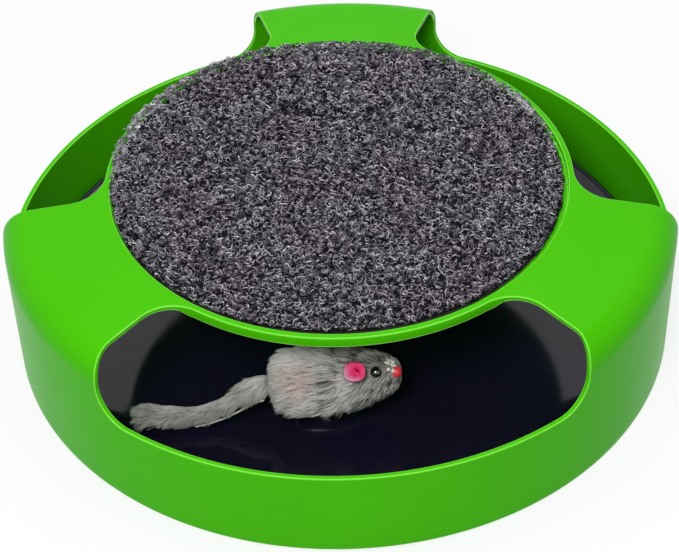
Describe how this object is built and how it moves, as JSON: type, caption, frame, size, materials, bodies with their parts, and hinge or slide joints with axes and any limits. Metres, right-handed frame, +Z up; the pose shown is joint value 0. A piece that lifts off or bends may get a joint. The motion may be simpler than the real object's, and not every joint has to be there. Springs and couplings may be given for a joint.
{
  "type": "rotating mouse cat toy",
  "caption": "Round cat toy: a moulded cover with windows and a carpet scratching pad over a free-spinning dish that carries a small furry mouse.",
  "frame": {"origin": "on the floor, at the centre of the round foot, directly below the axis that the dish spins about", "axes": "+Z up along the spin axis; the front, with the widest window, faces -Y; +X is to the right seen from the front"},
  "size_m": [0.2496, 0.2499, 0.0663],
  "materials": {
    "green_plastic": "satin-gloss moulded plastic",
    "black_gloss": "polished black plastic",
    "black_plastic": "plain black plastic",
    "carpet": "looped and curly grey carpet pile",
    "board": "stiff woven backing",
    "adhesive": "glue film",
    "rubber": "matt",
    "steel": "zinc plated",
    "nylon": "natural nylon",
    "clear_plastic": "clear",
    "fur": "short grey fur",
    "hide": "bare hide",
    "pink_felt": "felt",
    "black_bead": "polished",
    "red_bead": "satin"
  },
  "bodies": {
    "housing": {"top_cover": "green_plastic", "carpet_pile": "carpet", "pad_backing": "board", "pad_adhesive": "adhesive", "base_plate": "black_plastic", "rubber_foot_1": "rubber", "rubber_foot_2": "rubber", "rubber_foot_3": "rubber", "rubber_foot_4": "rubber", "cover_screw_1": "steel", "cover_screw_2": "steel", "cover_screw_3": "steel", "cover_screw_4": "steel", "thrust_washer": "nylon", "retaining_washer": "steel", "spindle_screw": "steel"},
    "spinner": {"turntable": "black_gloss", "hub_bush": "nylon", "mouse_clip": "clear_plastic", "clip_screw": "steel", "mouse_core": "nylon", "mouse_body": "fur", "mouse_head": "fur", "mouse_tail": "fur", "tail_hide": "hide", "ear_right": "pink_felt", "ear_left": "pink_felt", "eye_right": "black_bead", "eye_left": "black_bead", "nose": "red_bead"}
  },
  "joints": [
    {"name": "dish_spin", "type": "hinge", "parent": "housing", "child": "spinner", "pos_m": [0, 0, 0.0049], "axis": [0, 0, 1], "continuous": true}
  ]
}
